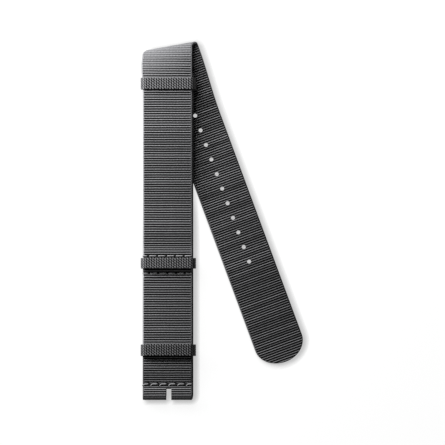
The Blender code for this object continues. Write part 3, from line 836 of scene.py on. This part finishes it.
def makeTailWeb():
    start = foldLineLength(-halfWidth, bendEnd) - strap["overrun"]
    gap = tail["tipGap"]
    rows = ribRows(start, tipLength - gap)
    turned = np.linspace(*tail["tipTurns"], tail["tipRows"]) * math.pi / 2
    close = tipLength - tail["tipReach"] * (1 - np.sin(turned))       # rows that follow the round tip
    rows = np.array(sorted([*rows, *(row for row in close if np.min(np.abs(rows - row)) > gap)]))
    width, length = np.meshgrid(webColumns(list(np.arange(*tail["holeColumns"]))), rows)
    width, fromEdge = tipNarrowed(width, length)
    width, length, cut = holesCut(width, length)
    mesh = flatWeb(width, length, (), cut, fromEdge, ribsOpened(width, length))
    cutAlongFold(mesh, bendEnd, False)
    return webPiece("tailWeb", mesh, longPlace, "tail", "strap_tail")


print("long strap")
endWeb = makeEndWeb()
frontWeb = makeFrontWeb()
foldWeb = makeFoldWeb()
tailWeb = makeTailWeb()


# Under strap

def makeUnderWebs():
    split, end = lengthAt(underLine, strap["underSplit"]), underLine["lengths"][-1]
    upper = [("upper", lengthAt(underLine, strap["upperRow"]))]
    looped = [("end", lengthAt(underLine, endRow)), ("end", lengthAt(underLine, endRow, underTurned))]
    under, underEnd = plainWeb(strap["cutStart"], split, upper), plainWeb(split, end, looped)
    return (
        webPiece("underWeb", under, underPlace, "front", "under_strap"),
        webPiece("underEndWeb", underEnd, underPlace, "end_loop", "under_strap_end"),
    )


print("under strap")
underWeb, underEndWeb = makeUnderWebs()


# Keepers: a band woven in twisted cords, closed into a ring

keeper = {
    "sideSlope": 1.55,      # the turned ends slope out over the webbing's edges
    "bendRadius": 0.4,
    "tipRadius": 0.6,
    "inset": 0.15,
    "endThickness": 0.55,
    "cordPitch": 1.01,      # cords side by side across the band
    "cordPoints": 9,        # points round the ring for each cord, then those across its face and its inside
    "facePoints": 41,
    "insidePoints": 9,
    "twistAlong": 1.37,     # the crowns of their twist run down to the right
    "twistAcross": 1.05,
    "crossing": 0.24,       # how much the twist and the cords' roundness shape a crown
    "counterTwist": 0.08,
    "relief": 0.18,
    "scallop": 0.16,
    "edgeRound": 0.3,
    "edgeLift": 0.18,       # the outermost cords' crowns stand a little higher
    "turnedEnd": 1.5,       # here the band lies slanting, its cords pressed flatter
    "turnedFade": 0.5,
    "endShare": 0.35,
    "endOut": 0.14,
    "endDrop": 0.155,       # the ends sit a little lower than the face
    "endWiden": 0.05,
    "selvedgeFade": 0.12,
    "plainTone": 0.66,
    "paintedLightLeftTone": 1.1,        # painted light: the left end is lighter, from this far out
    "paintedLightLeftReach": -0.9,
    "paintedShadeRightTone": 0.48,      # and painted shade makes the right one darker, with a short fade
    "paintedShadeFade": (-0.04, 0.05),
    "faceTone": 0.96,
    "cordTone": 0.5,        # a crown's tone rises faster than its height
    "crownTone": 0.65,
    "insideTone": 0.4,
}


def ringPoints(box):        # the band's outer line in X and Z, with its outward normals
    low, high = box
    width, height = (high.x - low.x) / 2 / mm, (high.z - low.z) / 2 / mm - keeper["inset"]
    middleX, middleZ = (low.x + high.x) / 2 / mm, (low.z + high.z) / 2 / mm
    flat, bend, tip = width - keeper["sideSlope"], keeper["bendRadius"], keeper["tipRadius"]
    corners = [
        (width, 0, tip), (flat, height, bend), (-flat, height, bend),
        (-width, 0, tip), (-flat, -height, bend), (flat, -height, bend),
    ]
    points, normals = [], []
    for index, (x, z, radius) in enumerate(corners):
        before, after = corners[index - 1], corners[(index + 1) % len(corners)]
        angles = [math.atan2(z - before[1], x - before[0]), math.atan2(after[1] - z, after[0] - x)]
        start, end = (angle - math.pi / 2 for angle in angles)
        end += 2 * math.pi * (end < start - 1e-9)
        inner = radius / math.cos((end - start) / 2)
        centreX = middleX + x - inner * math.cos((start + end) / 2)
        centreZ = middleZ + z - inner * math.sin((start + end) / 2)
        for angle in np.linspace(start, end, 13):
            normal = (math.cos(angle), math.sin(angle))
            points.append((centreX + radius * normal[0], centreZ + radius * normal[1]))
            normals.append(normal)
    points.append(points[0])
    normals.append(normals[0])
    return np.array(points), np.array(normals)


def cordForm(cords, twists, across):        # 0 between the cords and in their twist, 1 on a crown
    turns = across / keeper["twistAcross"]
    crossing = np.cos(2 * np.pi * cords) + np.cos(2 * np.pi * (turns - twists))
    counter = np.cos(2 * np.pi * (turns + twists))
    return 0.5 + keeper["crossing"] * crossing + keeper["counterTwist"] * counter


def bandMesh(box, shape):
    path, normals = ringPoints(box)
    reach = reachAlong(path)
    count = round(reach[-1] / keeper["cordPitch"]) * keeper["cordPoints"]
    along = np.linspace(0, reach[-1], count, endpoint=False)
    cords, twists = (        # whole cords and turns round the ring
        along / reach[-1] * round(reach[-1] / keeper[pitch]) for pitch in ("cordPitch", "twistAlong")
    )
    x, z, nx, nz = (np.interp(along, reach, row) for row in (*path.T, *normals.T))
    size = np.hypot(nx, nz)
    nx, nz = nx / size, nz / size
    low, high = box
    bottom, top = low.y / mm - shape["lower"], high.y / mm + shape["upper"]
    middle, bandHalf = (bottom + top) / 2, (top - bottom) / 2
    middleX, reachX = (low.x + high.x) / 2 / mm, (high.x - low.x) / 2 / mm
    out = (x - middleX) / reachX
    fromEnd = reachX - np.abs(x - middleX)
    turned = np.clip((keeper["turnedEnd"] - fromEnd) / keeper["turnedFade"], 0, 1)
    x = x + keeper["endOut"] * turned * np.sign(out)
    thick = strap["bandThickness"] * (1 - (1 - keeper["endThickness"]) * turned)
    # painted light on the left end and painted shade on the right one, with the keeper's own tone
    places = [-1.0, keeper["paintedLightLeftReach"], *(shape["dark"] + step for step in keeper["paintedShadeFade"])]
    tones = [keeper["paintedLightLeftTone"], keeper["paintedLightLeftTone"], keeper["faceTone"], keeper["paintedShadeRightTone"]]
    toneWithPaintedSideLight = shape["tone"] * np.interp(out, places, tones)
    section = [(share, True) for share in np.linspace(-1, 1, keeper["facePoints"])]
    section += [(share, False) for share in np.linspace(1, -1, keeper["insidePoints"])]
    points = np.zeros((count, len(section), 3))
    marks = np.zeros((count, len(section), 3))
    wave = keeper["scallop"] * np.cos(2 * np.pi * twists)
    for column, (share, outside) in enumerate(section):
        ripple = wave * (1 - turned) * (share < 0) * abs(share) ** 3
        y = share * (bandHalf - keeper["scallop"] / 2 + keeper["endWiden"] * turned) - ripple / 2
        y = y - keeper["endDrop"] * turned
        rim = np.clip((y - bandHalf + shape["selvedge"]) / keeper["selvedgeFade"], 0, 1)
        plain = np.maximum(keeper["endShare"] * turned, rim)
        form = cordForm(cords, twists, y) * (1 + keeper["edgeLift"] * abs(share) ** 6)
        form = form * (1 - plain) + keeper["plainTone"] * plain
        edge = np.clip((1 - abs(share)) * bandHalf / keeper["edgeRound"], 0, 1)
        rounding = keeper["edgeRound"] * (1 - math.sqrt(1 - (1 - edge) ** 2)) * thick
        sunk = rounding + keeper["relief"] * (1 - form) if outside else thick - rounding
        points[:, column] = np.stack([(x - nx * sunk) * mm, (middle + y) * mm, (z - nz * sunk) * mm], 1)
        lit = form * (keeper["cordTone"] + keeper["crownTone"] * form) * toneWithPaintedSideLight
        shown = lit if outside else keeper["insideTone"] + 0 * form
        marks[:, column] = np.stack([along * mm, y * mm, shown], 1)
    index = np.arange(count * len(section)).reshape(count, len(section))
    after = np.roll(index, -1, axis=0)
    beside = np.roll(index, -1, axis=1)
    both = np.roll(after, -1, axis=1)
    faces = np.stack([index, beside, both, after], 2).reshape(-1, 4)
    mesh = toMesh("band", points.reshape(-1, 3), faces)
    markPlaces(mesh, "bandPlace", marks.reshape(-1, 3))
    return mesh


bandFinish = {
    # the gaps' near black is painted shade, and the crowns' grey is partly a painted highlight
    "gap": "#040404",
    "crown": "#747476",
    "gapTone": 0.25,
    "fuzzSize": 0.6,        # mm, drawn coarser than the fibres, as on the webbing
    "fuzz": 0.7,
    "roughness": 0.5,
    "gloss": 0.1,
    "sheen": 0.02,
    "bump": 0.5,
    "bumpDepth": 0.05,
}


def wovenKeeperBand():
    # Nylon band woven in twisted cords. Each turn of a cord has a painted highlight, and the gaps painted
    # shade.
    finish = bandFinish
    material, tree, shader = newMaterial("wovenKeeperBand")
    place = addNode(tree, "ShaderNodeAttribute", attribute_name="bandPlace").outputs["Vector"]
    along, across, tone = addNode(tree, "ShaderNodeSeparateXYZ", [place]).outputs
    flatPlace = addNode(tree, "ShaderNodeCombineXYZ", [along, across])
    scale = 1 / (finish["fuzzSize"] * mm)
    fuzz = addNode(tree, "ShaderNodeTexNoise", {"Vector": flatPlace, "Scale": scale, "Detail": 3.0})
    tufts = addNode(tree, "ShaderNodeMath", [fuzz, 0.5], operation="SUBTRACT")
    lift = addNode(tree, "ShaderNodeMath", [tufts, finish["fuzz"], tone], operation="MULTIPLY_ADD")
    colour = addNode(tree, "ShaderNodeValToRGB", [lift])
    setStops(colour, (finish["gapTone"], finish["gap"]), (1.0, finish["crown"]))
    tree.links.new(colour.outputs[0], shader.inputs["Base Color"])
    shader.inputs["Roughness"].default_value = finish["roughness"]
    shader.inputs["Specular IOR Level"].default_value = finish["gloss"]
    shader.inputs["Sheen Weight"].default_value = finish["sheen"]
    depth = finish["bumpDepth"] * mm
    bump = addNode(tree, "ShaderNodeBump", {"Strength": finish["bump"], "Distance": depth, "Height": fuzz})
    tree.links.new(bump.outputs[0], shader.inputs["Normal"])
    return material


# How far each reaches past its packed width below and above, the width of its plain upper edge, its tone
# (lower on the keepers nearer the slotted end), and from how far out its right end takes painted shade.
bands = {
    "fixedBand": {
        "node": "fixed_keeper", "body": "front",
        "lower": -0.12, "upper": -0.04, "selvedge": 0.0, "tone": 0.93, "dark": 0.86,
    },
    "floatingBand": {
        "node": "floating_keeper", "body": "loose_keeper",
        "lower": -0.12, "upper": 0.32, "selvedge": 0.0, "tone": 0.83, "dark": 0.82,
    },
    "endBand": {
        "node": "end_keeper", "body": "end_loop",
        "lower": 0.34, "upper": 0.0, "selvedge": 0.3, "tone": 0.97, "dark": 0.86,
    },
}

print("keepers")
bandMaterial = wovenKeeperBand()
for name, shape in bands.items():
    mesh = bandMesh(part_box(shape["node"]), shape)
    showPiece(name, mesh, bandMaterial, "keeper_band", shape["body"], shape["node"])


# Stitching

def stitchPath(name, row, proud):
    # one thread along a row: over the left edge, up at the left of each stitch, down at its right end
    radius, lean = stitching["diameter"] / 2, stitching["lean"][name]
    high, low, edge = halfWeb + proud - radius, halfWeb + stitching["deep"] - radius, halfWidth
    ends = list(stitchEnds(name, row))
    turnedDown = (edge - 0.15, row + stitching["leanTop"] * lean)
    stop, top = ends[0]
    points = [
        (0.3 - edge, row - lean, 0),        # inside, at the left edge
        (-edge - 0.03, row - lean, 0.1),
        (-edge - 0.02, row - 0.8 * lean, high - 0.25),
        (0.35 - edge, row - 0.4 * lean, high),
        (0.9 - edge, row + 0.2 * lean, high),
        (stop - 0.25, top, high),
        (stop - 0.02, top, low),
    ]
    for (start, bottom), (stop, top) in zip(ends[1::2], [*ends[2::2], turnedDown]):
        points += [
            (start + 0.02, bottom, low),
            (start + 0.16, bottom + 0.1 * lean, high - 0.12),
            (start + 0.55, row + lean * 0.1, high),
            (start + 0.95, row + lean * 0.42, high + 0.02),
            (stop - 0.25, top, high),
            (stop - 0.02, top, low),
        ]
    return np.array(points)


def smoothLine(points, spacing=0.09, softening=5):
    even = evenPoints(points, reachAlong(points), spacing)[1]
    half = softening // 2
    return softened(np.pad(even, ((half, half), (0, 0)), mode="edge"), softening)


def threadMesh(line, sides=12):
    # a twisted thread along a line in the world, its plies as ridges round it
    run = np.gradient(line, axis=0)
    run /= np.linalg.norm(run, axis=1)[:, None]
    up = np.array([0, 0, 1.0]) - run * run[:, 2:3]
    up += np.array([0, 1e-3, 0])        # so that it has a direction where the thread runs straight up
    up /= np.linalg.norm(up, axis=1)[:, None]
    side = np.cross(run, up)
    reach = reachAlong(line) / mm
    angle = np.linspace(0, 2 * math.pi, sides, endpoint=False)
    twist = 2 * math.pi * reach[:, None] / stitching["twistPitch"]
    ply = 1 + stitching["plyDepth"] * np.cos(stitching["plies"] * (angle[None, :] - twist))
    radius = stitching["diameter"] / 2 * mm / (1 + stitching["plyDepth"]) * ply
    ring = np.cos(angle)[None, :, None] * up[:, None, :] + np.sin(angle)[None, :, None] * side[:, None, :]
    points = (line[:, None, :] + ring * radius[:, :, None]).reshape(-1, 3)
    index = np.arange(len(points)).reshape(len(line), sides)
    beside = np.roll(index, -1, axis=1)
    faces = np.stack([index[:-1], index[1:], beside[1:], beside[:-1]], 2).reshape(-1, 4)
    mesh = toMesh("thread", points, faces)
    shape = bmesh.new()
    shape.from_mesh(mesh)
    shape.verts.ensure_lookup_table()
    for end in (0, len(line) - 1):
        loop = [shape.verts[int(v)] for v in index[end]]
        shape.faces.new(loop if end == 0 else loop[::-1])
    bmesh.ops.recalc_face_normals(shape, faces=shape.faces)
    shape.to_mesh(mesh)
    shape.free()
    marks = np.stack([np.repeat(reach * mm, sides), np.tile(angle, len(line)), ply.ravel()], 1)
    markPlaces(mesh, "threadPlace", marks)
    return mesh


threadFinish = {
    # the valleys between the plies get painted shade
    "valley": "#242425",
    "ply": "#9c9c9e",
    "valleyTone": 0.1,
    "plyTone": 0.7,
    "roughness": 0.5,
    "sheen": 0.15,
}


def twistedPolyesterThread():
    # Bonded polyester thread, three plies twisted. A little brighter than the webbing, with a slight sheen.
    finish, depth = threadFinish, stitching["plyDepth"]
    material, tree, shader = newMaterial("twistedPolyesterThread")
    place = addNode(tree, "ShaderNodeAttribute", attribute_name="threadPlace").outputs["Vector"]
    ply = addNode(tree, "ShaderNodeSeparateXYZ", [place]).outputs[2]
    tone = addNode(tree, "ShaderNodeMapRange", [ply, 1 - depth, 1 + depth])
    colour = addNode(tree, "ShaderNodeValToRGB", [tone])
    setStops(colour, (finish["valleyTone"], finish["valley"]), (finish["plyTone"], finish["ply"]))
    tree.links.new(colour.outputs[0], shader.inputs["Base Color"])
    shader.inputs["Roughness"].default_value = finish["roughness"]
    shader.inputs["Sheen Weight"].default_value = finish["sheen"]
    return material


def makeThread(node, body, place, row, proud, face=1):
    rowName, *words = node.split("_")
    flat = smoothLine(stitchPath(rowName, row, proud))
    flat[:, 2] *= face
    name = rowName + "".join(word.title() for word in words)
    showPiece(name, threadMesh(place(flat)), threadMaterial, "thread", body, node)


print("stitching")
threadMaterial = twistedPolyesterThread()
proud, sunk = stitching["proud"], stitching["sunk"]
for name in ("slot", "lower", "upper"):
    row = upperLength(strap[name + "Row"])
    makeThread(f"{name}_row_needle_thread", "front", longPlace, row, proud)
for name in ("slot", "lower"):
    row = lengthAt(frontLine, strap[name + "Row"])
    makeThread(f"{name}_row_bobbin_thread", "front", longPlace, row, sunk)
upperBelow = lengthAt(underLine, strap["upperRow"])
makeThread("upper_row_bobbin_thread", "front", underPlace, upperBelow, sunk, face=-1)
for kind, after in (("needle", 0.0), ("bobbin", underTurned)):
    row = lengthAt(underLine, endRow, after)
    makeThread(f"end_row_{kind}_thread", "end_loop", underPlace, row, sunk)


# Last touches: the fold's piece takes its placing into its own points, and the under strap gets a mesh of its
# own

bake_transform(foldWeb)

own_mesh(underWeb)


# Studio

studio = {      # in metres, apart from the pixels
    "reach": 2.4,
    "aimLevel": 0.004,      # about half the strap's height
    "pictureWidth": 0.18290,
    "picturePixels": 445,
    "centrePixel": 167.7,   # the picture's column at the front leg's middle, and its row at the slotted end
    "endPixel": 400.0,
    "lamps": {
        "softbox": {"place": (-0.135, 0.225, 0.215), "size": 0.25, "power": 1.95},
        "sideStrip": {"place": (-0.29, 0.135, 0.116), "size": 0.16, "power": 1.5},
    },
    "worldLight": 0.12,
    "floorSize": 2.5,
    "floorDrop": 0.0001,    # so that the strap's underside and the floor don't coincide
}

paperFinish = {
    "colour": "#f4f4f4",
    "roughness": 0.9,
    "gloss": 0.1,
    "lean": (-0.8, 0.2, 0.57),      # the painted shadow looks for what is near towards the softbox, where shadows come from
    "reach": 2.9,       # mm
    "power": 1.6,
    "least": 0.6,
    "glow": 1.02,
    "glowShares": (0.4, 0.5),
}


def whitePaperSweep():
    # A sweep of matt white paper. The camera sees it nearly white, a little darker beside the strap, where a
    # painted shadow joins the lamps' own.
    finish = paperFinish
    material, tree, shader = newMaterial("whitePaperSweep")
    shader.inputs["Base Color"].default_value = linear(finish["colour"])
    shader.inputs["Roughness"].default_value = finish["roughness"]
    shader.inputs["Specular IOR Level"].default_value = finish["gloss"]
    material.cycles.emission_sampling = "NONE"      # its glow is only for the camera
    rays = addNode(tree, "ShaderNodeLightPath").outputs
    seen = [rays["Is Camera Ray"], rays["Is Glossy Ray"]]
    seen = addNode(tree, "ShaderNodeMath", seen, operation="MAXIMUM")
    seen = addNode(tree, "ShaderNodeMath", [seen, rays["Is Transmission Ray"]], operation="MAXIMUM")
    lean = addNode(tree, "ShaderNodeCombineXYZ", finish["lean"])     # it counts only when linked
    # a painted shadow: the glow dims where the strap is near
    near = {"Distance": finish["reach"] * mm, "Normal": lean}
    clear = addNode(tree, "ShaderNodeAmbientOcclusion", near, samples=16).outputs["AO"]
    clear = addNode(tree, "ShaderNodeMath", [clear, finish["power"]], operation="POWER")
    clear = addNode(tree, "ShaderNodeMath", [clear, finish["least"]], operation="MAXIMUM")
    paintedShadowGlow = addNode(tree, "ShaderNodeMath", [seen, finish["glow"]], operation="MULTIPLY")
    paintedShadowGlow = addNode(tree, "ShaderNodeMath", [clear, paintedShadowGlow], operation="MULTIPLY")
    glow = addNode(tree, "ShaderNodeEmission", {"Color": linear("#ffffff"), "Strength": paintedShadowGlow})
    share = addNode(tree, "ShaderNodeMath", [seen, *finish["glowShares"]], operation="MULTIPLY_ADD")
    both = addNode(tree, "ShaderNodeMixShader", [share, shader, glow])
    tree.links.new(both.outputs[0], tree.nodes["Material Output"].inputs[0])
    return material


def makeFloor():
    shape = bmesh.new()
    bmesh.ops.create_grid(shape, x_segments=2, y_segments=2, size=studio["floorSize"])
    mesh = bpy.data.meshes.new("floor")
    shape.to_mesh(mesh)
    shape.free()
    mesh.materials.append(whitePaperSweep())
    floor = bpy.data.objects.new("floor", mesh)
    floor.location = (0, 0, -studio["floorDrop"])
    bpy.context.scene.collection.objects.link(floor)


def makeLamp(name, kind):
    lamp = bpy.data.lights.new(name, "AREA")
    lamp.shape = "DISK"
    lamp.size = kind["size"]
    lamp.energy = kind["power"]
    holder = bpy.data.objects.new(name, lamp)
    holder.location = kind["place"]
    holder.rotation_euler = (-Vector(kind["place"])).to_track_quat("-Z", "Y").to_euler()        # at the strap
    bpy.context.scene.collection.objects.link(holder)


def makeCamera():
    camera = bpy.data.cameras.new("camera")
    camera.sensor_width = 36
    camera.lens = camera.sensor_width * studio["reach"] / studio["pictureWidth"]
    camera.clip_start, camera.clip_end = 0.01, 10
    holder = bpy.data.objects.new("camera", camera)
    middle, pixel = studio["picturePixels"] / 2, studio["pictureWidth"] / studio["picturePixels"]
    middleX = (middle - studio["centrePixel"]) * pixel + originX * mm
    middleY = (studio["endPixel"] - middle) * pixel + originY * mm
    holder.location = (middleX, middleY, studio["reach"] + studio["aimLevel"])
    bpy.context.scene.collection.objects.link(holder)
    bpy.context.scene.camera = holder


print("studio")
makeFloor()
for name, kind in studio["lamps"].items():
    makeLamp(name, kind)
makeCamera()
world = bpy.data.worlds.new("world")
bpy.context.scene.world = world
world.use_nodes = True
world.node_tree.nodes["Background"].inputs[0].default_value = linear("#ffffff")
world.node_tree.nodes["Background"].inputs[1].default_value = studio["worldLight"]
bpy.context.scene.view_settings.view_transform = "Standard"

bpy.context.view_layer.update()
print("done")
